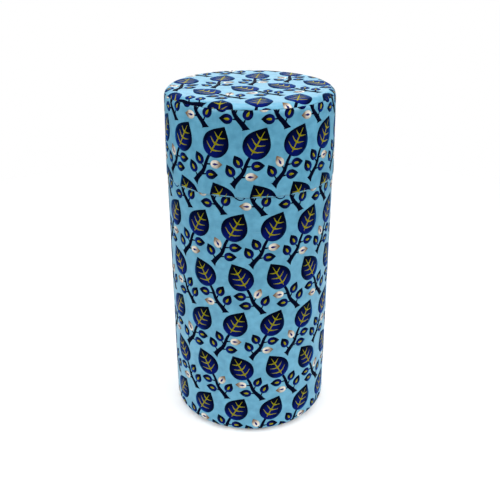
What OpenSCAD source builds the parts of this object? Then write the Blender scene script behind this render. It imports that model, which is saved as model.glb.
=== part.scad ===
// Paper-covered round tin with a slip-on outer lid and a knobbed inner lid.
// Millimetres. +Z is up, and the origin is the centre of the ring that the tin stands on.

/* [Tin] */
// Outside diameter of the paper-covered body
tin_d = 80; // [70:0.5:90]
// Height of the closed tin
tin_h = 169; // [140:1:200]
// Radius of the soft edges at the top and at the bottom
edge_r = 4.2; // [2.5:0.1:4.5]
// Thickness of the tinplate
sheet_t = 0.3; // [0.25:0.05:0.4]
// Thickness of the printed paper
paper_t = 0.2; // [0.15:0.05:0.25]

/* [Outer lid] */
// Height of the outer lid, from its mouth to its top
lid_h = 40.5; // [34:0.5:50]
// How far the lid's mouth stands out past the body, on the radius
lid_lip = 0.4; // [0.3:0.05:0.6]
// How far the lid narrows from its mouth to its top, on the radius
lid_taper = 0.6; // [0.3:0.05:0.7]
// Gap between the closed lid's mouth and the body's edge
seam_gap = 0.2; // [0.2:0.05:0.6]
// Height of the hem folded back inside the lid's mouth
hem_h = 2.5; // [1.5:0.1:4]
// Angle up the rounded edge at which the side paper meets the top paper
paper_joint_a = 30; // [15:1:60]

/* [Collar] */
// How far the collar stands above the body's edge
collar_h = 18; // [14:0.5:22]
// How far the collar is drawn in above the body's edge, on the radius
collar_step = 0.2; // [0.1:0.05:0.3]
// Radius of the bead curled inwards along the collar's rim
collar_bead_r = 0.7; // [0.5:0.05:0.9]
// Width of the lap seam inside the collar tube
lap_w = 6; // [4:0.5:10]

/* [Bottom] */
// How far the bottom plate is set up above the ring that the tin stands on
bottom_recess = 3.2; // [2.5:0.1:5]
// Diameter of the pressed panel in the bottom plate
bottom_panel_d = 46; // [30:1:56]
// Width of the turned-in flange that holds the bottom plate and the top plate
flange_w = 2.8; // [2:0.1:4]

/* [Inner lid] */
// Depth of the skirt that plugs the collar, below the inner lid's rim
skirt_h = 8; // [6:0.5:9]
// How far the inner lid's panel lies below its rim
panel_drop = 1.5; // [1:0.1:3]
// Clearance between the inner lid's skirt and the collar's bead, on the radius
skirt_gap = 0.3; // [0.2:0.05:0.5]
// Diameter of the knob's head
knob_d = 16; // [12:0.5:22]
// Height of the knob above the panel
knob_h = 9; // [7:0.5:10]
// Diameter of the rivet through the knob
rivet_d = 3; // [2:0.1:4]
// Diameter of the washer under the panel
washer_d = 11; // [8:0.5:14]

/* [Hidden] */
$fn = 96;

// Body: paper, shell and sleeve lie one inside the other.
body_r = tin_d / 2;
shell_r = body_r - paper_t;
sleeve_r = shell_r - sheet_t;
body_top_z = tin_h - lid_h;
edge_in_r = body_r - edge_r;

// Collar: the top of the sleeve, drawn in a little so that the lid slides over it.
collar_r = sleeve_r - collar_step;
collar_top_z = body_top_z + collar_h;
bead_z = collar_top_z - collar_bead_r;
bead_in_r = collar_r - 2 * collar_bead_r;

// Outer lid: a slightly tapered wall under a rounded edge.
mouth_z = body_top_z + seam_gap;
mouth_r = body_r + lid_lip;
lid_top_r = mouth_r - lid_taper;
lid_edge_z = tin_h - edge_r;
lid_edge_in_r = lid_top_r - edge_r;

// Inner lid: it rests on the collar's bead.
rest_gap = 0.1;
rim_r = 0.5;
skirt_r = bead_in_r - skirt_gap;
rim_z = collar_top_z + rest_gap + rim_r;
panel_z = rim_z - panel_drop;
washer_t = 0.5;
rivet_head_h = 0.7;

/* Profiles in the plane that holds the axis: x is the radius, y is the height. */

// A quarter ring, from angle a0 to angle a1 about the centre (r, z).
module arc_band(r, z, r_out, t, a0, a1) {
    reach = r_out * 2;
    translate([r, z])
        intersection() {
            difference() {
                circle(r = r_out);
                circle(r = r_out - t);
            }
            polygon([[0, 0],
                     [reach * cos(a0), reach * sin(a0)],
                     [reach * cos((a0 + a1) / 2), reach * sin((a0 + a1) / 2)],
                     [reach * cos(a1), reach * sin(a1)]]);
        }
}

// A band of the lid's tapered wall, set in by a depth from its outside.
module lid_wall_band(inset, t, z0, z1) {
    polygon([[lid_r(z0) - inset - t, z0],
             [lid_r(z0) - inset, z0],
             [lid_r(z1) - inset, z1],
             [lid_r(z1) - inset - t, z1]]);
}

// Outside radius of the lid's wall at a height.
function lid_r(z) = mouth_r - lid_taper * (z - mouth_z) / (lid_edge_z - mouth_z);

module band(r0, r1, z0, z1) {
    translate([r0, z0])
        square([r1 - r0, z1 - z0]);
}

/* Tin */

// Outer tube, turned in at the bottom to carry the bottom plate.
module body_shell() {
    color("silver")
        rotate_extrude() {
            band(sleeve_r, shell_r, edge_r, body_top_z);
            arc_band(edge_in_r, edge_r, edge_r - paper_t, sheet_t, 270, 360);
            band(edge_in_r - flange_w, edge_in_r, paper_t, paper_t + sheet_t);
        }
}

// Bottom plate: its rim lies on the shell's flange, and its middle has a pressed panel.
module bottom_plate() {
    rim_z0 = paper_t + sheet_t;
    wall_r = edge_in_r - flange_w - 0.4;
    panel_r = bottom_panel_d / 2;
    press_h = 0.8;
    color("silver")
        rotate_extrude() {
            band(wall_r - sheet_t, edge_in_r, rim_z0, rim_z0 + sheet_t);
            band(wall_r - sheet_t, wall_r, rim_z0, bottom_recess + sheet_t);
            polygon([[0, bottom_recess - press_h],
                     [panel_r, bottom_recess - press_h],
                     [panel_r + 1, bottom_recess],
                     [wall_r, bottom_recess],
                     [wall_r, bottom_recess + sheet_t],
                     [panel_r + 1 - sheet_t / 2, bottom_recess + sheet_t],
                     [panel_r - sheet_t / 2, bottom_recess - press_h + sheet_t],
                     [0, bottom_recess - press_h + sheet_t]]);
        }
}

// Inner tube: it lines the body, stands up as the collar and ends in a curled bead.
module neck_sleeve() {
    foot_z = edge_r + 0.5;
    step_z = body_top_z - 1.5;
    lap_a = lap_w / sleeve_r * 90 / PI;
    color("gainsboro") {
        rotate_extrude() {
            polygon([[sleeve_r - sheet_t, foot_z],
                     [sleeve_r, foot_z],
                     [sleeve_r, step_z],
                     [collar_r, body_top_z],
                     [collar_r, bead_z],
                     [collar_r - sheet_t, bead_z],
                     [collar_r - sheet_t, body_top_z],
                     [sleeve_r - sheet_t, step_z]]);
            translate([collar_r - collar_bead_r, bead_z])
                circle(r = collar_bead_r, $fn = 32);
        }
        rotate([0, 0, 90 - lap_a])
            rotate_extrude(angle = 2 * lap_a)
                band(sleeve_r - 2 * sheet_t, sleeve_r - sheet_t / 2, foot_z, step_z);
    }
}

// Printed paper round the body, tucked round the bottom edge.
module body_paper() {
    color("lightskyblue")
        rotate_extrude() {
            band(shell_r, body_r, edge_r, body_top_z);
            arc_band(edge_in_r, edge_r, edge_r, paper_t, 270, 360);
            band(edge_in_r - flange_w, edge_in_r, 0, paper_t);
        }
}

/* Outer lid */

// Tapered tube with a hem inside its mouth, turned in at the top over the top plate.
module lid_shell() {
    color("silver")
        rotate_extrude() {
            lid_wall_band(paper_t, sheet_t, mouth_z, lid_edge_z);
            lid_wall_band(paper_t + sheet_t / 2, sheet_t * 1.5, mouth_z, mouth_z + hem_h);
            arc_band(lid_edge_in_r, lid_edge_z, edge_r - paper_t, sheet_t, 0, 90);
            band(lid_edge_in_r - flange_w, lid_edge_in_r,
                 tin_h - paper_t - sheet_t, tin_h - paper_t);
        }
}

// Top plate: its rim lies under the shell's flange, and its middle is flush with the flange.
module lid_top_plate() {
    top_z = tin_h - paper_t;
    panel_r = lid_edge_in_r - flange_w;
    color("silver")
        rotate_extrude() {
            band(0, panel_r, top_z - sheet_t, top_z);
            band(panel_r - sheet_t, lid_edge_in_r, top_z - 2 * sheet_t, top_z - sheet_t);
        }
}

// Printed paper round the lid's wall and over the foot of its rounded edge.
module lid_side_paper() {
    color("lightskyblue")
        rotate_extrude() {
            lid_wall_band(0, paper_t, mouth_z, lid_edge_z);
            arc_band(lid_edge_in_r, lid_edge_z, edge_r, paper_t, 0, paper_joint_a);
        }
}

// Printed paper disc on the lid's top, smoothed down over the rounded edge.
module lid_top_paper() {
    color("lightskyblue")
        rotate_extrude() {
            band(0, lid_edge_in_r, tin_h - paper_t, tin_h);
            arc_band(lid_edge_in_r, lid_edge_z, edge_r, paper_t, paper_joint_a, 90);
        }
}

/* Inner lid */

// Pressed pan: a rolled rim on the collar's bead, a skirt below it and a sunk panel.
module inner_lid_pan() {
    color("gainsboro")
        difference() {
            rotate_extrude() {
                band(skirt_r - sheet_t, skirt_r, rim_z - skirt_h, rim_z);
                band(skirt_r - sheet_t, skirt_r + rim_r, rim_z, rim_z + rim_r);
                translate([skirt_r + rim_r, rim_z])
                    circle(r = rim_r, $fn = 32);
                band(0, skirt_r, panel_z - sheet_t, panel_z);
            }
            translate([0, 0, panel_z - 1])
                cylinder(d = rivet_d, h = 2);
        }
}

// Turned knob: a foot, a waist and a flat-topped round head, drilled for the rivet.
module inner_lid_knob() {
    head_r = knob_d / 2;
    head_h = knob_h * 0.4;
    head_z = panel_z + knob_h - head_h / 2;
    foot_r = knob_d * 0.32;
    waist_r = knob_d * 0.2;
    color("dimgray")
        difference() {
            rotate_extrude() {
                polygon([[0, panel_z],
                         [foot_r, panel_z],
                         [foot_r, panel_z + 1],
                         [waist_r, panel_z + 2.5],
                         [waist_r, panel_z + knob_h - head_h - 0.8],
                         [head_r - head_h / 2, panel_z + knob_h - head_h],
                         [head_r - head_h / 2, panel_z + knob_h],
                         [0, panel_z + knob_h]]);
                translate([head_r - head_h / 2, head_z])
                    circle(r = head_h / 2, $fn = 48);
            }
            translate([0, 0, panel_z - 1])
                cylinder(d = rivet_d, h = knob_h + 2);
        }
}

// Rivet through knob, panel and washer, with a head at each end.
module knob_rivet() {
    low_z = panel_z - sheet_t - washer_t;
    high_z = panel_z + knob_h;
    color("silver") {
        translate([0, 0, low_z - 0.05])
            cylinder(d = rivet_d, h = high_z - low_z + 0.1);
        translate([0, 0, high_z])
            cylinder(d1 = rivet_d * 1.9, d2 = rivet_d * 1.3, h = rivet_head_h);
        translate([0, 0, low_z - rivet_head_h])
            cylinder(d1 = rivet_d * 1.3, d2 = rivet_d * 1.9, h = rivet_head_h);
    }
}

// Washer that spreads the rivet's pull under the panel.
module knob_washer() {
    color("silver")
        translate([0, 0, panel_z - sheet_t - washer_t])
            difference() {
                cylinder(d = washer_d, h = washer_t);
                translate([0, 0, -1])
                    cylinder(d = rivet_d, h = washer_t + 2);
            }
}

body_shell();
bottom_plate();
neck_sleeve();
body_paper();
lid_shell();
lid_top_plate();
lid_side_paper();
lid_top_paper();
inner_lid_pan();
inner_lid_knob();
knob_rivet();
knob_washer();
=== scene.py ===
"""The look of a tall round tin covered in printed paper, with an outer lid and an inner lid.

Print coordinates and profiles are in millimetres; MM turns them into Blender's metres.
A point of the print is a complex number: across the sheet + up the sheet * 1j.
"""
import cmath
import math

import bpy
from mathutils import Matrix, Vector, noise
from mathutils.geometry import delaunay_2d_cdt


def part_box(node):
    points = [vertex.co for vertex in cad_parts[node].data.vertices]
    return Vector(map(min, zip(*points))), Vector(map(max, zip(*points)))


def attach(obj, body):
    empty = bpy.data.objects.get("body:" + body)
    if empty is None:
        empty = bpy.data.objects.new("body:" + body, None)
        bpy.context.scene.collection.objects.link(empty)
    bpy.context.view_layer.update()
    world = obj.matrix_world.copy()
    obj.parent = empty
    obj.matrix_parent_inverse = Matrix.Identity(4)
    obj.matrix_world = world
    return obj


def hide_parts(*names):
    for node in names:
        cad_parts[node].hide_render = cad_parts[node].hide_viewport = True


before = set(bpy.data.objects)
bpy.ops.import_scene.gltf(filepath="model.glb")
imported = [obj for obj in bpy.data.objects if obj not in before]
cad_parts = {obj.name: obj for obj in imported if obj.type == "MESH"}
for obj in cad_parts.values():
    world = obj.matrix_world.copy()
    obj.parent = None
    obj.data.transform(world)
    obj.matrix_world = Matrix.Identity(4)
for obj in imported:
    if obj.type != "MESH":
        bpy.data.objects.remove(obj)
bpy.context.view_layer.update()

MM = 0.001

# ---------------------------------------------------------------- sizes from the frame

PAPER_T = 0.2
PAPER_JOINT = math.radians(30)
RING_W = 2.8
# The paper under the tin keeps this far off the surface that the tin stands on.
SOLE_LIFT = 0.26


def corner(node, which):
    """A corner of a CAD node's box, in millimetres: which is 0 for the lowest, 1 for the highest."""
    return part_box(node)[which] / MM


BODY_R = corner("body_paper", 1).x
BODY_TOP = corner("body_paper", 1).z
MOUTH_R = corner("lid_side_paper", 1).x
MOUTH_Z = corner("lid_side_paper", 0).z
TIN_H = corner("lid_top_paper", 1).z
EDGE_R = (TIN_H - corner("lid_side_paper", 1).z) / (1 - math.sin(PAPER_JOINT))
LID_EDGE_IN_R = corner("lid_top_paper", 1).x - EDGE_R * math.cos(PAPER_JOINT)
LID_EDGE_Z = TIN_H - EDGE_R

# The sheet's overlap is at the tin's back.
SEAM_ANGLE = math.pi / 2
OVERLAP_W = 7.0
OVERLAP_LIFT = 0.16
OVERLAP_RAMP = 1.0

# How high the paper's slow waves are, and its creases round the tin's and the lid's edges.
WAVES = 0.05
WRAP_CREASES = 0.10
DISC_CREASES = 0.12

# The paper's cut edges at the lid's seam turn in this far, over this height.
TURN_IN = 0.05
TURN_IN_H = 0.4
# Above the rounded foot, the creases die out over this height.
FOOT_FADE = 1.5
CROWN_FADE = 2.5

# On the lid's top, the paper bends within this far of its edge, and is fully bent further out.
DISC_BEND = 5.0
DISC_BENT = 2.0
DISC_EDGE_W = 1.6
DISC_EDGE_LIFT = 0.06


# ---------------------------------------------------------------- paper surfaces


def arc(centre_r, centre_z, radius, start, end, steps):
    """Points (radius, height) along an arc, from one angle to another."""
    turn = (end - start) / steps
    return [
        (centre_r + radius * math.cos(start + i * turn), centre_z + radius * math.sin(start + i * turn))
        for i in range(steps + 1)
    ]


class Profile:
    """A line of (radius, height) points beside the axis, measured along its length."""

    def __init__(self, points):
        self.points = points
        self.lengths = [0.0]
        for a, b in zip(points, points[1:]):
            self.lengths.append(self.lengths[-1] + math.dist(a, b))
        self.total = self.lengths[-1]
        edges = [self._edge_normal(a, b) for a, b in zip(points, points[1:])]
        self.normals = [
            self._mean(edges[max(i - 1, 0)], edges[min(i, len(edges) - 1)]) for i in range(len(points))
        ]

    @staticmethod
    def _edge_normal(a, b):
        length = math.dist(a, b)
        return ((b[1] - a[1]) / length, (a[0] - b[0]) / length)

    @staticmethod
    def _mean(a, b):
        x, y = a[0] + b[0], a[1] + b[1]
        size = math.hypot(x, y)
        return (x / size, y / size)

    def at(self, s):
        """Radius, height and outward normal at a length along the line."""
        s = min(max(s, 0.0), self.total)
        i = 1
        while i < len(self.lengths) - 1 and self.lengths[i] < s:
            i += 1
        t = (s - self.lengths[i - 1]) / (self.lengths[i] - self.lengths[i - 1])
        (r0, z0), (r1, z1) = self.points[i - 1], self.points[i]
        (a0, b0), (a1, b1) = self.normals[i - 1], self.normals[i]
        return (r0 + (r1 - r0) * t, z0 + (z1 - z0) * t, a0 + (a1 - a0) * t, b0 + (b1 - b0) * t)


def pleats(angle, amount, seed):
    """Height of the fine creases where flat paper is smoothed round an edge."""
    fine = noise.noise(Vector((math.cos(angle) * 16, math.sin(angle) * 16, seed)))
    coarse = noise.noise(Vector((math.cos(angle) * 6, math.sin(angle) * 6, seed + 5)))
    return amount * (0.6 * fine + 0.5 * coarse)


def swell(place, amount, seed):
    """Height of the slow waves that glued paper keeps."""
    return amount * noise.noise(Vector((place.x * 0.06, place.y * 0.06, place.z * 0.045 + seed)))


def ease(low, high, x):
    """Smooth step from 0 at low to 1 at high."""
    t = min(max((x - low) / (high - low), 0.0), 1.0)
    return t * t * (3 - 2 * t)


class Wrap:
    """Paper round a wall: u runs once round the tin from the overlap, v along the profile."""

    def __init__(self, profile, radius, seed, creased):
        self.profile = profile
        self.radius = radius
        self.seed = seed
        self.creased = creased
        self.around = 2 * math.pi * radius
        self.outline = [0j, self.around + 0j, complex(self.around, profile.total), complex(0, profile.total)]

    def bends(self, p):
        """Whether the paper bends sharply at a point of the print."""
        return self.creased(p.imag) > 0 or p.real > self.around - OVERLAP_W - 1.5 * OVERLAP_RAMP

    def place(self, p, lift):
        """The point in space over a point of the print."""
        angle = SEAM_ANGLE + p.real / self.radius
        r, z, nr, nz = self.profile.at(p.imag)
        flat = Vector((r * math.cos(angle), r * math.sin(angle), z))
        height = lift + swell(flat, WAVES, self.seed)
        height += pleats(angle, WRAP_CREASES, self.seed) * self.creased(p.imag)
        overlap = ease(self.around - OVERLAP_W - OVERLAP_RAMP, self.around - OVERLAP_W, p.real)
        height += OVERLAP_LIFT * overlap
        r, z = r + nr * height, z + nz * height
        return Vector((r * math.cos(angle), r * math.sin(angle), z)) * MM


class Disc:
    """Paper on the lid's top, smoothed down over its rounded edge."""

    def __init__(self, profile, seed):
        self.profile = profile
        self.seed = seed
        self.radius = profile.total
        self.outline = [cmath.rect(self.radius, math.tau * i / 180) for i in range(180)]

    def bends(self, p):
        """Whether the paper bends sharply at a point of the print."""
        return abs(p) > self.radius - DISC_BEND

    def place(self, p, lift):
        """The point in space over a point of the print."""
        angle = cmath.phase(p)
        r, z, nr, nz = self.profile.at(self.radius - abs(p))
        flat = Vector((r * math.cos(angle), r * math.sin(angle), z))
        bend = ease(self.radius - DISC_BEND, self.radius - DISC_BENT, abs(p))
        height = lift + swell(flat, WAVES, self.seed) + pleats(angle, DISC_CREASES, self.seed) * bend
        # The trimmed edge lies over the side paper.
        height += DISC_EDGE_LIFT * ease(self.radius - DISC_EDGE_W, self.radius, abs(p))
        r, z = r + nr * height, z + nz * height
        return Vector((r * math.cos(angle), r * math.sin(angle), z)) * MM


foot_arc = arc(BODY_R - EDGE_R, EDGE_R, EDGE_R, -math.pi / 2, 0, 16)
foot_profile = Profile(
    [(BODY_R - EDGE_R - RING_W, SOLE_LIFT)]
    + [(r, z + SOLE_LIFT * (1 - z / EDGE_R)) for r, z in foot_arc]
    + [(BODY_R, EDGE_R + FOOT_FADE), (BODY_R, BODY_TOP - TURN_IN_H), (BODY_R - TURN_IN, BODY_TOP)]
)
# Heights on the body's print are measured from the surface that the tin stands on.
BODY_V0 = foot_profile.total - BODY_TOP

lid_profile = Profile(
    [(MOUTH_R - TURN_IN, MOUTH_Z), (MOUTH_R, MOUTH_Z + TURN_IN_H)]
    + arc(LID_EDGE_IN_R, LID_EDGE_Z, EDGE_R, 0, PAPER_JOINT, 6)
)
top_profile = Profile(
    arc(LID_EDGE_IN_R, LID_EDGE_Z, EDGE_R, PAPER_JOINT, math.pi / 2, 12) + [(0.0, TIN_H)]
)


def foot_creases(v):
    """Creases on the body's paper: full under the tin, gone above the rounded edge."""
    return 1 - ease(RING_W, BODY_V0 + EDGE_R + FOOT_FADE, v)


def crown_creases(v):
    """Creases on the lid's side paper: only where it reaches the rounded edge."""
    return 0.5 * ease(lid_profile.total - CROWN_FADE, lid_profile.total, v)


body_sheet = Wrap(foot_profile, BODY_R, 3.0, foot_creases)
lid_sheet = Wrap(lid_profile, BODY_R, 11.0, crown_creases)
top_sheet = Disc(top_profile, 19.0)


# ---------------------------------------------------------------- materials


def linear(value):
    """One sRGB channel, 0 to 255, as linear light."""
    value /= 255
    return value / 12.92 if value <= 0.04045 else ((value + 0.055) / 1.055) ** 2.4


def colour(r, g, b):
    """An sRGB colour, 0 to 255, as linear RGBA."""
    return (linear(r), linear(g), linear(b), 1.0)


def material(name, base, roughness, metallic=0.0, specular=0.5):
    """A plain surface. Returns the material, its nodes, its links and its shader."""
    mat = bpy.data.materials.new(name)
    mat.use_nodes = True
    nodes, links = mat.node_tree.nodes, mat.node_tree.links
    shader = nodes["Principled BSDF"]
    shader.inputs["Base Color"].default_value = base
    shader.inputs["Roughness"].default_value = roughness
    shader.inputs["Metallic"].default_value = metallic
    shader.inputs["Specular IOR Level"].default_value = specular
    return mat, nodes, links, shader


def noise_node(nodes, links, scale, detail=4.0, stretch=(1, 1, 1)):
    """A noise texture in the object's own coordinates."""
    coords = nodes.new("ShaderNodeTexCoord")
    mapping = nodes.new("ShaderNodeMapping")
    mapping.inputs["Scale"].default_value = stretch
    tex = nodes.new("ShaderNodeTexNoise")
    tex.inputs["Scale"].default_value = scale
    tex.inputs["Detail"].default_value = detail
    links.new(coords.outputs["Object"], mapping.inputs["Vector"])
    links.new(mapping.outputs["Vector"], tex.inputs["Vector"])
    return tex


def bump(nodes, links, shader, height, distance, strength=1.0):
    """Gives a shader a bump from a height output, in metres."""
    node = nodes.new("ShaderNodeBump")
    node.inputs["Distance"].default_value = distance
    node.inputs["Strength"].default_value = strength
    links.new(height, node.inputs["Height"])
    links.new(node.outputs["Normal"], shader.inputs["Normal"])


def mix_colour(nodes, links, factor, a, b):
    """A mix of two colours by a factor output. The first colour is a plain one or an output."""
    mix = nodes.new("ShaderNodeMix")
    mix.data_type = "RGBA"
    if isinstance(a, tuple):
        mix.inputs["A"].default_value = a
    else:
        links.new(a, mix.inputs["A"])
    mix.inputs["B"].default_value = b
    links.new(factor, mix.inputs["Factor"])
    return mix.outputs["Result"]


def map_range(nodes, links, value, low_high, to):
    """A node that maps a value output from one range to another."""
    node = nodes.new("ShaderNodeMapRange")
    node.inputs["From Min"].default_value, node.inputs["From Max"].default_value = low_high
    node.inputs["To Min"].default_value, node.inputs["To Max"].default_value = to
    links.new(value, node.inputs["Value"])
    return node


def paper_material():
    """Pale blue printed ground on mulberry paper: clouded, with long pale fibres."""
    mat, nodes, links, shader = material("paper_blue", colour(81, 151, 181), 0.40, specular=0.6)
    cloud = noise_node(nodes, links, 260, 6)
    clouded = map_range(nodes, links, cloud.outputs["Fac"], (0.34, 0.66), (0.0, 1.0))
    ground = mix_colour(nodes, links, clouded.outputs["Result"], colour(72, 141, 171), colour(90, 161, 191))
    upright = noise_node(nodes, links, 2400, 2, (1, 1, 0.05))
    level = noise_node(nodes, links, 2400, 2, (0.05, 0.05, 1))
    strands = nodes.new("ShaderNodeMath")
    strands.operation = "MAXIMUM"
    links.new(upright.outputs["Fac"], strands.inputs[0])
    links.new(level.outputs["Fac"], strands.inputs[1])
    fibres = map_range(nodes, links, strands.outputs["Value"], (0.64, 0.76), (0.0, 0.22))
    ground = mix_colour(nodes, links, fibres.outputs["Result"], ground, colour(138, 186, 206))
    links.new(ground, shader.inputs["Base Color"])
    bump(nodes, links, shader, strands.outputs["Value"], 0.00005, 0.6)
    return mat


INK_IOR = 1.045
BLOOM_ROUGHNESS = 0.35


def ink_bloom(shader, sheen, tint):
    """Hardly any gloss where ink is seen face on, and a bloom where it is seen edge on."""
    shader.inputs["IOR"].default_value = INK_IOR
    shader.inputs["Sheen Weight"].default_value = sheen
    shader.inputs["Sheen Roughness"].default_value = BLOOM_ROUGHNESS
    shader.inputs["Sheen Tint"].default_value = tint


def shaded_ink(name, light, dark, roughness, sheen=0.0, tint=(1, 1, 1, 1)):
    """Ink that goes from one colour to another by the piece's own shade attribute."""
    mat, nodes, links, shader = material(name, light, roughness)
    ink_bloom(shader, sheen, tint)
    shade = nodes.new("ShaderNodeAttribute")
    shade.attribute_name = "shade"
    links.new(mix_colour(nodes, links, shade.outputs["Fac"], light, dark), shader.inputs["Base Color"])
    return mat


def plain_ink(name, base, roughness=0.5, sheen=0.0, tint=(1, 1, 1, 1)):
    """Ink of one colour."""
    mat, _, _, shader = material(name, base, roughness)
    ink_bloom(shader, sheen, tint)
    return mat


def tinplate_material():
    """Bright tinplate: a fine rolled grain along Z and hazy patches."""
    mat, nodes, links, shader = material("tinplate", colour(176, 176, 172), 0.24, metallic=1.0)
    haze = noise_node(nodes, links, 45, 3)
    rough = map_range(nodes, links, haze.outputs["Fac"], (0.35, 0.70), (0.17, 0.34))
    links.new(rough.outputs["Result"], shader.inputs["Roughness"])
    grain = noise_node(nodes, links, 700, 4, (1, 1, 0.03))
    bump(nodes, links, shader, grain.outputs["Fac"], 0.00003, 0.5)
    return mat


PAPER = paper_material()
PAPER_EDGE = plain_ink("paper_edge", colour(226, 226, 218), 0.8)
INKS = {
    "twigs": plain_ink("ink_night", colour(2, 6, 28)),
    "leaves": shaded_ink("ink_navy", colour(6, 17, 86), colour(1, 3, 14), 0.45, 0.4, (0, 0.25, 1, 1)),
    "veins": plain_ink("ink_yellow", colour(131, 126, 0), 0.5, 0.4, (1, 0.95, 0.3, 1)),
    "buds": shaded_ink("ink_cream", colour(222, 217, 205), colour(112, 88, 64), 0.55),
    "marks": plain_ink("ink_violet", colour(44, 42, 104)),
}
LIFTS = {"twigs": 0.030, "leaves": 0.045, "veins": 0.065, "buds": 0.050, "marks": 0.070}
TINPLATE = tinplate_material()
KNOB_METAL = material("knob_aluminium", colour(188, 190, 193), 0.2, metallic=1.0)[0]
RIVET_STEEL = material("rivet_steel", colour(160, 160, 158), 0.3, metallic=1.0)[0]


# ---------------------------------------------------------------- printed shapes


def curve(p0, p1, p2, p3, steps):
    """Points of a cubic curve, without its last one."""
    points = []
    for i in range(steps):
        t = i / steps
        s = 1 - t
        points.append(s**3 * p0 + 3 * s * s * t * p1 + 3 * s * t * t * p2 + t**3 * p3)
    return points


def leaf_outline(length, width, steps):
    """A leaf from its foot at 0 to its tip at length * 1j."""
    half = width / 2
    foot, tip = 0j, length * 1j
    side = half + 0.43 * length * 1j
    right = curve(foot, 0.58 * half + 0j, half + 0.17 * length * 1j, side, steps)
    right += curve(side, half + 0.66 * length * 1j, 0.36 * half + 0.86 * length * 1j, tip, steps)
    left = [complex(-p.real, p.imag) for p in reversed(right[1:])]
    return right + [tip] + left


def stroke(points, widths):
    """The outline of a line of points with a width at each."""
    left, right = [], []
    for i, (p, width) in enumerate(zip(points, widths)):
        along = points[min(i + 1, len(points) - 1)] - points[max(i - 1, 0)]
        side = along / abs(along) * 1j * width / 2
        left.append(p + side)
        right.append(p - side)
    return right + left[::-1]


# A stalk's width from its branch to its end.
STALK_WIDTHS = (1.15, 0.95, 0.8, 0.7, 0.62, 0.55)


class Print:
    """Everything printed on one sheet, as outlines with an optional shade, by ink."""

    def __init__(self):
        self.shapes = {ink: [] for ink in INKS}

    def add(self, ink, outlines, at, turn, shade=None):
        """Adds outlines drawn about 0, turned and then moved to a place on the sheet."""
        placed = [[at + turn * p for p in outline] for outline in outlines]
        self.shapes[ink].append((placed, at, turn, shade))

    def leaf(self, at, turn, length, width, pairs):
        """A leaf with a midrib and pairs of side veins, dark at its tip and along its edge."""

        def shade(p):
            along = p.imag / length
            across = abs(p.real) / (width / 2)
            return max(ease(0.33, 0.76, along), 0.95 * ease(0.40, 0.95, across * (1 + 0.3 * along)))

        self.add("leaves", [leaf_outline(length, width, 11)], at, turn, shade)
        rib = [0.10j * length, 0.30j * length, 0.55j * length, 0.86j * length]
        veins = [stroke(rib, [0.026 * width, 0.048 * width, 0.046 * width, 0.014 * width])]
        for i in range(pairs):
            foot = (0.20 + 0.42 * i / (pairs - 1)) * length * 1j
            reach = (0.33 - 0.05 * i) * width
            for side in (-1, 1):
                line = [foot, foot + reach * (0.45 * side + 0.16j), foot + reach * (side + 0.52j)]
                veins.append(stroke(line, [0.075 * width, 0.042 * width, 0.012 * width]))
        self.add("veins", veins, at, turn)

    def leaflet(self, at, turn, length):
        """A small leaf with a yellow drop in it."""
        width = 0.74 * length

        def shade(p):
            return max(ease(0.25, 0.70, p.imag / length), 0.8 * ease(0.40, 1.0, 2 * abs(p.real) / width))

        self.add("leaves", [leaf_outline(length, width, 6)], at, turn, shade)
        drop = [0.22j * length + 0.42 * p for p in leaf_outline(length, 0.60 * width, 4)]
        self.add("veins", [drop], at, turn)

    def bud(self, at, turn, length):
        """A pale bud with a brown tip and a dark mark along its middle."""

        def shade(p):
            along = p.imag / length
            return max(ease(0.36, 0.82, along), 0.40 * ease(0.5, 1.0, abs(p.real) / (0.34 * length)))

        self.add("buds", [leaf_outline(length, 0.68 * length, 8)], at, turn, shade)
        mark = [0.18j * length, 0.36j * length, 0.66j * length]
        self.add("marks", [stroke(mark, [0.07 * length, 0.22 * length, 0.03 * length])], at, turn)

    def shoot(self, at, turn, stalk, length, kind):
        """A short stalk with a leaflet or a bud on its end."""
        reach = turn * stalk
        end = at + reach * 1j
        points = curve(at, at + reach * (0.06 + 0.4j), at + reach * (0.06 + 0.7j), end, len(STALK_WIDTHS) - 1)
        self.add("twigs", [stroke(points + [end], STALK_WIDTHS)], 0j, 1 + 0j)
        getattr(self, kind)(end, turn, length)

    def branch(self, at, turn, length, thick, bow):
        """A tapering branch from its cut end at 0; returns the function from length to place."""

        def centre(t):
            sway = math.sin(math.pi * t) - 0.35 * math.sin(3 * math.pi * t)
            return at + turn * (t * length * 1j + bow * sway)

        steps = 14
        points = [centre(i / steps) for i in range(steps + 1)]
        widths = [thick * (1 - 0.5 * (i / steps) ** 0.7) for i in range(steps + 1)]
        widths[0] = thick * 1.3
        cut = 0.22 * thick * turn
        outline = stroke(points, widths)
        outline[0] -= cut * 1j
        outline[-1] += cut * 1j
        self.add("twigs", [outline], 0j, 1 + 0j)
        return centre


# The print is a plain herringbone of leafy sprigs.
LEAN = math.radians(30)
COLUMN_W = 18.0
ROW_H = 25.0
BRANCH_L = 15.0
BRANCH_T = 2.6
BRANCH_BOW = 0.7
LEAF_L = 15.0
LEAF_W = 12.0
# A sprig's foot stands halfway between the leaf tips of the row below.
ROW_SHIFT = (BRANCH_L + LEAF_L) * math.sin(LEAN) - COLUMN_W / 2
# Shoots are this part of the branch apart.
SHOOT_STEP = 0.18
SHOOTS = 4
SHOOT_LEAN = math.radians(58)
STALK_L = 2.4
SHOOT_L = {"leaflet": 6.0, "bud": 5.5}


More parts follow.
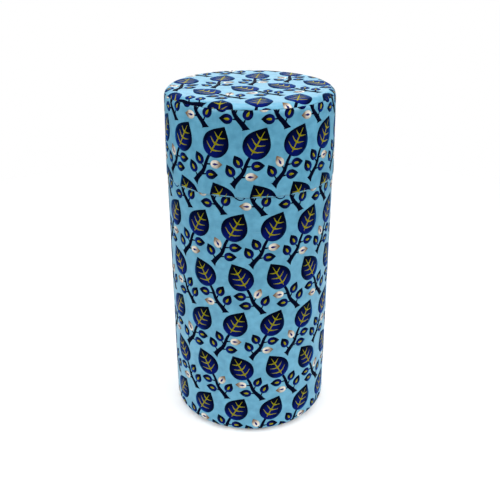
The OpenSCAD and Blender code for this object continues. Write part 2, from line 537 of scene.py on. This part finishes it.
def draw_sprig(sheet_print, at, side, turn, bud_place):
    """A sprig that leans to a side: shoots left and right by turns, one a bud, and a leaf on its end."""
    heading = turn * cmath.rect(1, -side * LEAN)
    centre = sheet_print.branch(at, heading, BRANCH_L, BRANCH_T, side * BRANCH_BOW)
    for i in range(SHOOTS):
        kind = "bud" if i == bud_place else "leaflet"
        lean = side * (-1) ** i * SHOOT_LEAN
        start = centre((i + 1) * SHOOT_STEP)
        sheet_print.shoot(start, heading * cmath.rect(1, lean), STALK_L, SHOOT_L[kind], kind)
    end = centre(1) - centre(0.9)
    sheet_print.leaf(centre(1), end / abs(end) * -1j, LEAF_L, LEAF_W, 3)


def draw_print(sheet_print, columns, rows, origin, turn):
    """The repeating print: each row of sprigs leans the other way than the row below it."""
    for row in rows:
        side = 1 if row % 2 == 0 else -1
        for column in columns:
            place = complex(column * COLUMN_W + row % 2 * ROW_SHIFT, row * ROW_H)
            # Any shoot but the lowest may be the bud.
            bud_place = 1 + (column + row) % (SHOOTS - 1)
            draw_sprig(sheet_print, origin + turn * place, side, turn, bud_place)


# ---------------------------------------------------------------- meshes


def inside(point, outline):
    """Whether a point lies in an outline."""
    hit = False
    for a, b in zip(outline, outline[1:] + outline[:1]):
        if (a.imag > point.imag) != (b.imag > point.imag):
            if point.real < a.real + (point.imag - a.imag) * (b.real - a.real) / (b.imag - a.imag):
                hit = not hit
    return hit


WIDE_STEP = 1.7
FINE_STEP = 0.6


def refined(outline, sheet):
    """An outline with its edges cut short wherever the paper bends sharply."""
    points = []
    for a, b in zip(outline, outline[1:] + outline[:1]):
        step = FINE_STEP if sheet.bends(a) or sheet.bends(b) else WIDE_STEP
        parts = max(1, math.ceil(abs(b - a) / step))
        points += [a + (b - a) * i / parts for i in range(parts)]
    return points


def inner_points(outlines, spacing, wanted):
    """A loose grid of wanted points well inside the outlines, so that a large shape can bend."""
    found = []
    for outline in outlines:
        low_u, high_u = min(p.real for p in outline), max(p.real for p in outline)
        low_v, high_v = min(p.imag for p in outline), max(p.imag for p in outline)
        for i in range(1, int((high_u - low_u) / spacing) + 1):
            for j in range(1, int((high_v - low_v) / spacing) + 1):
                p = complex(low_u + i * spacing, low_v + j * spacing)
                if wanted(p) and inside(p, outline) and min(abs(p - q) for q in outline) > 0.4 * spacing:
                    found.append(p)
    return found


def fill(outlines, sheet):
    """Points and triangles that cover the outlines inside the sheet, or None if they miss it."""
    border = sheet.outline
    kept = [inside(p, border) for outline in outlines for p in outline]
    if not any(kept):
        return None
    outlines = [refined(outline, sheet) for outline in outlines]
    points = [p for outline in outlines for p in outline]
    faces = []
    for outline in outlines:
        start = faces[-1][-1] + 1 if faces else 0
        faces.append(list(range(start, start + len(outline))))
    if not all(kept):
        faces.append(list(range(len(points), len(points) + len(border))))
        points = points + border
    points = points + inner_points(outlines, WIDE_STEP, lambda p: not sheet.bends(p))
    points = points + inner_points(outlines, FINE_STEP, sheet.bends)
    flat = [Vector((p.real, p.imag)) for p in points]
    verts, _, triangles, _, _, sources = delaunay_2d_cdt(flat, [], faces, 1, 1e-5)
    shapes = set(range(len(outlines)))
    wanted = [
        triangle
        for triangle, source in zip(triangles, sources)
        if shapes & set(source) and (all(kept) or len(outlines) in source)
    ]
    return [complex(v.x, v.y) for v in verts], wanted


def boundary_edges(triangles):
    """The edges that only one triangle of a patch has, each in that triangle's direction."""
    edges = {}
    for triangle in triangles:
        for a, b in zip(triangle, triangle[1:] + triangle[:1]):
            edges[(a, b)] = True
    return [edge for edge in edges if (edge[1], edge[0]) not in edges]


def signed_area(verts, triangle):
    """Twice a triangle's area, positive when it runs anticlockwise."""
    a, b, c = (verts[i] for i in triangle)
    return ((b - a).conjugate() * (c - a)).imag


def make_object(name, verts, faces, materials, smooth=True):
    """A mesh object from points and faces."""
    mesh = bpy.data.meshes.new(name)
    mesh.from_pydata(verts, [], faces)
    for mat in materials:
        mesh.materials.append(mat)
    if smooth:
        mesh.polygons.foreach_set("use_smooth", [True] * len(mesh.polygons))
    mesh.update()
    obj = bpy.data.objects.new(name, mesh)
    bpy.context.scene.collection.objects.link(obj)
    return obj


INK_SINK = -0.03


def ink_layer(name, sheet, sheet_print, ink, body, slot):
    """One ink of a print, as thin closed islands that stand just proud of the paper."""
    verts, faces, shades, flat_faces = [], [], [], []
    for outlines, at, turn, shade in sheet_print.shapes[ink]:
        filled = fill(outlines, sheet)
        if filled is None or not filled[1]:
            continue
        points, triangles = filled
        triangles = [list(t) if signed_area(points, t) > 0 else list(t)[::-1] for t in triangles]
        used = sorted({i for triangle in triangles for i in triangle})
        top = {old: len(verts) + new for new, old in enumerate(used)}
        low = {old: index + len(used) for old, index in top.items()}
        for lift in (LIFTS[ink], INK_SINK):
            for i in used:
                verts.append(sheet.place(points[i], lift))
                shades.append(shade((points[i] - at) / turn) if shade else 0.0)
        faces += [[top[i] for i in triangle] for triangle in triangles]
        faces += [[low[i] for i in reversed(triangle)] for triangle in triangles]
        for a, b in boundary_edges(triangles):
            flat_faces += [len(faces)]
            faces.append([top[b], top[a], low[a], low[b]])
    obj = make_object(name, verts, faces, [INKS[ink]])
    for index in flat_faces:
        obj.data.polygons[index].use_smooth = False
    attribute = obj.data.attributes.new("shade", "FLOAT", "POINT")
    attribute.data.foreach_set("value", shades)
    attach(obj, body)
    return obj


def ring_mesh(rings):
    """Faces of a closed tube through rings of equally many points, the last joined to the first."""
    count = len(rings[0])
    faces = []
    for row in range(len(rings)):
        below, above = row * count, ((row + 1) % len(rings)) * count
        for i in range(count):
            j = (i + 1) % count
            faces.append([below + i, below + j, above + j, above + i])
    return [p for ring in rings for p in ring], faces


def paper_wrap(name, sheet, node, body):
    """The sheet of paper itself, as a closed shell as thick as the paper."""
    profile = sheet.profile
    stops = sorted(set([0.0, profile.total] + profile.lengths + steps_between(profile.lengths, 3.0)))
    count = 360
    across = [sheet.around * i / count for i in range(count)] + [sheet.around - 0.04]
    rings = [[sheet.place(complex(u, v), 0.0) for u in across] for v in stops]
    inner = [[sheet.place(complex(u, v), -PAPER_T) for u in across] for v in reversed(stops)]
    verts, faces = ring_mesh(rings + inner)
    obj = make_object(name, verts, faces, [PAPER, PAPER_EDGE])
    edge_rows = (len(stops) - 1, 2 * len(stops) - 1)
    for row in edge_rows:
        for i in range(len(across)):
            polygon = obj.data.polygons[row * len(across) + i]
            polygon.material_index = 1
            polygon.use_smooth = False
    for row in range(2 * len(stops)):
        obj.data.polygons[row * len(across) + count].use_smooth = False
    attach(obj, body)
    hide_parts(node)
    return obj


def steps_between(lengths, longest):
    """Extra stops wherever two lengths lie further apart than the longest step."""
    extra = []
    for a, b in zip(lengths, lengths[1:]):
        parts = max(1, math.ceil((b - a) / longest))
        extra += [a + (b - a) * i / parts for i in range(1, parts)]
    return extra


def paper_disc(name, sheet, node, body):
    """The lid's top paper, as a closed dish as thick as the paper."""
    count = 240
    stops = sorted(set(sheet.profile.lengths[:-1] + steps_between(sheet.profile.lengths, 3.0)))
    verts, faces = [], []
    for lift in (0.0, -PAPER_T):
        for s in stops:
            for i in range(count):
                verts.append(sheet.place(cmath.rect(sheet.radius - s, math.tau * i / count), lift))
        verts.append(sheet.place(0j, lift))
    side = len(stops) * count + 1
    for start, flip in ((0, False), (side, True)):
        for row in range(len(stops) - 1):
            for i in range(count):
                j = (i + 1) % count
                a, b = start + row * count, start + (row + 1) * count
                quad = [a + i, a + j, b + j, b + i]
                faces.append(quad[::-1] if flip else quad)
        last = start + (len(stops) - 1) * count
        centre = start + side - 1
        for i in range(count):
            fan = [last + i, last + (i + 1) % count, centre]
            faces.append(fan[::-1] if flip else fan)
    edge_start = len(faces)
    for i in range(count):
        j = (i + 1) % count
        faces.append([i, side + i, side + j, j])
    obj = make_object(name, verts, faces, [PAPER, PAPER_EDGE])
    for index in range(edge_start, len(faces)):
        obj.data.polygons[index].material_index = 1
        obj.data.polygons[index].use_smooth = False
    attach(obj, body)
    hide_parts(node)
    return obj


# ---------------------------------------------------------------- the printed papers

# The three pieces of paper are cut from the print at different places, and the top at a slant.
# Each has enough columns and rows to cover its sheet, which cuts off the rest.
AROUND = range(-2, 16)
TOP_SLANT = cmath.rect(1, math.radians(20))
body_print = Print()
draw_print(body_print, AROUND, range(-1, 6), 0j, 1 + 0j)
lid_print = Print()
draw_print(lid_print, AROUND, range(-1, 2), 10 + 5j, 1 + 0j)
top_print = Print()
draw_print(top_print, range(-4, 5), range(-3, 3), 0j, TOP_SLANT)

for label, sheet, sheet_print, node, body in (
    ("body", body_sheet, body_print, "body_paper", "tin"),
    ("lid_side", lid_sheet, lid_print, "lid_side_paper", "outer_lid"),
    ("lid_top", top_sheet, top_print, "lid_top_paper", "outer_lid"),
):
    make_paper = paper_disc if isinstance(sheet, Disc) else paper_wrap
    make_paper(f"{label}_paper_sheet", sheet, node, body)
    for ink in INKS:
        ink_layer(f"{label}_print_{ink}", sheet, sheet_print, ink, body, node)

# ---------------------------------------------------------------- metal parts

SMALL_PARTS = {"inner_lid_knob": KNOB_METAL, "knob_rivet": RIVET_STEEL, "knob_washer": RIVET_STEEL}

for node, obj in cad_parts.items():
    if node.endswith("_paper"):
        continue
    for i in range(len(obj.material_slots)):
        obj.material_slots[i].material = SMALL_PARTS.get(node, TINPLATE)

# ---------------------------------------------------------------- stage, light and camera

# Painted light: the floor round the tin glows though it is no lamp, which fills in the tin's contact shadow
# and brightens its foot.
FLOOR_PAINTED_GLOW = 0.17
# Where the floor's painted glow and then the floor itself begin and end to fade, in metres from the axis.
PAINTED_GLOW_FADE = (0.035, 0.085)
FLOOR_FADE = (0.14, 0.45)
FLOOR_R = 0.72
FLOOR_Z = -0.00002
LENS_MM = 50.2
CAMERA_PLACE = (0.0, -0.3243, 0.2373)
CAMERA_DOWN = 0.4397


def stage_floor():
    """A plain pale floor with a slight painted glow round the tin, which fills in the tin's contact shadow
    and lights its foot, and which fades into the white beyond it.
    """
    mat, nodes, links, shader = material("floor", (0.82, 0.82, 0.82, 1), 0.9, specular=0.05)
    # Painted light: this emission round the tin stands in for light that fills the contact shadow.
    shader.inputs["Emission Color"].default_value = (1, 1, 1, 1)
    coords = nodes.new("ShaderNodeTexCoord")
    distance = nodes.new("ShaderNodeVectorMath")
    distance.operation = "LENGTH"
    links.new(coords.outputs["Object"], distance.inputs[0])
    for socket, reach, value in (("Emission Strength", PAINTED_GLOW_FADE, FLOOR_PAINTED_GLOW), ("Alpha", FLOOR_FADE, 1.0)):
        fade = map_range(nodes, links, distance.outputs["Value"], reach, (value, 0.0))
        fade.interpolation_type = "SMOOTHSTEP"
        links.new(fade.outputs["Result"], shader.inputs[socket])
    points = [cmath.rect(FLOOR_R, math.tau * i / 96) for i in range(96)]
    verts = [(p.real, p.imag, FLOOR_Z) for p in points]
    floor = make_object("floor", verts, [list(range(len(verts)))], [mat], False)


def area_light(name, place, target, size, power):
    """A soft square light that looks at a point."""
    data = bpy.data.lights.new(name, "AREA")
    data.shape = "SQUARE"
    data.size = size
    data.energy = power
    lamp = bpy.data.objects.new(name, data)
    lamp.location = place
    lamp.rotation_euler = (Vector(target) - Vector(place)).to_track_quat("-Z", "Y").to_euler()
    bpy.context.scene.collection.objects.link(lamp)


def world_light(seen, above, low_front, low_back):
    """Even light from above the horizon, less from below it and least from below in front.

    The camera itself sees an even white.
    """
    world = bpy.data.worlds.new("studio")
    bpy.context.scene.world = world
    world.use_nodes = True
    nodes, links = world.node_tree.nodes, world.node_tree.links
    coords = nodes.new("ShaderNodeTexCoord")
    direction = nodes.new("ShaderNodeSeparateXYZ")
    links.new(coords.outputs["Generated"], direction.inputs["Vector"])
    below = map_range(nodes, links, direction.outputs["Y"], (-1.0, 1.0), (low_front, low_back))
    light = map_range(nodes, links, direction.outputs["Z"], (-0.20, 0.20), (0.0, above))
    links.new(below.outputs["Result"], light.inputs["To Min"])
    ray = nodes.new("ShaderNodeLightPath")
    level = map_range(nodes, links, ray.outputs["Is Camera Ray"], (0.0, 1.0), (0.0, seen))
    links.new(light.outputs["Result"], level.inputs["To Min"])
    links.new(level.outputs["Result"], nodes["Background"].inputs["Strength"])
    nodes["Background"].inputs["Color"].default_value = (1, 1, 1, 1)


def photo_camera():
    """The camera at the photograph's viewing angle."""
    data = bpy.data.cameras.new("camera")
    data.sensor_width = 36.0
    data.lens = LENS_MM
    camera = bpy.data.objects.new("camera", data)
    camera.location = CAMERA_PLACE
    camera.rotation_euler = (math.pi / 2 - CAMERA_DOWN, 0, 0)
    bpy.context.scene.collection.objects.link(camera)
    bpy.context.scene.camera = camera


stage_floor()
world_light(seen=1.0, above=0.74, low_front=0.1, low_back=0.4)
area_light("left", (-0.42, -0.24, 0.45), (0, 0, 0.1), 0.4, 1.5)
area_light("right", (0.42, -0.24, 0.45), (0, 0, 0.1), 0.4, 1.8)
area_light("overhead", (0.0, 0.1, 1.0), (0, 0, 0.05), 0.55, 4.0)
area_light("back", (0.0, 1.2, 0.55), (0, 0, 0.12), 0.9, 2.5)
photo_camera()
bpy.context.scene.view_settings.view_transform = "Standard"
